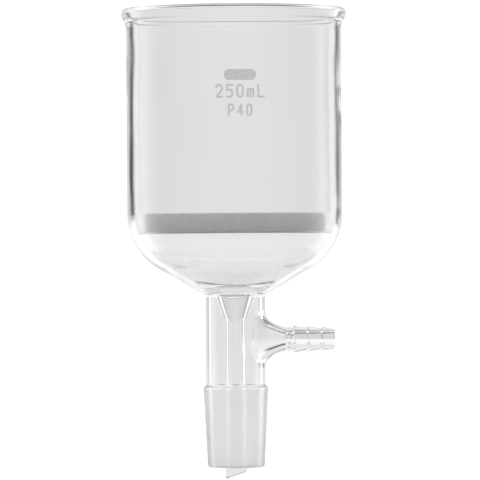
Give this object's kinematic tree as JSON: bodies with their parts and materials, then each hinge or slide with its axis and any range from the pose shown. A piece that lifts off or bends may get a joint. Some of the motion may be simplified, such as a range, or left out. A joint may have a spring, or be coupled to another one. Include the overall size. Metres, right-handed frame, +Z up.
{
  "type": "vacuum filter funnel",
  "caption": "Glass filter funnel: cylindrical cup with a beaded rim, sintered disc, rounded bowl, jacketed drip stem, side hose barb and male ground taper joint.",
  "frame": {"origin": "on the funnel's axis at the level of the drip tip's lowest point", "axes": "+Z up along the axis from the drip tip to the rim, +X along the side arm to the hose barb, printed marks face -Y"},
  "size_m": [0.0836, 0.0836, 0.175],
  "materials": {
    "clear_glass": "clear blown borosilicate glass, fire-polished edges",
    "fused_glass": "clear glass at a flame-worked seal, slightly wavy",
    "ground_glass": "clear glass with a finely ground, frosted outside",
    "sintered_glass": "porous white sintered glass grains",
    "enamel": "fired grey-white print"
  },
  "bodies": {
    "root": {"cup_wall": "clear_glass", "lower_bowl": "clear_glass", "fritted_disc": "sintered_glass", "disc_edge_seal": "fused_glass", "ring_seal": "fused_glass", "drip_stem": "clear_glass", "vacuum_jacket": "clear_glass", "side_neck": "clear_glass", "arm_weld": "fused_glass", "hose_barb": "clear_glass", "ground_joint": "ground_glass", "blank_patch": "enamel", "capacity_mark": "enamel", "grade_mark": "enamel"}
  },
  "joints": []
}
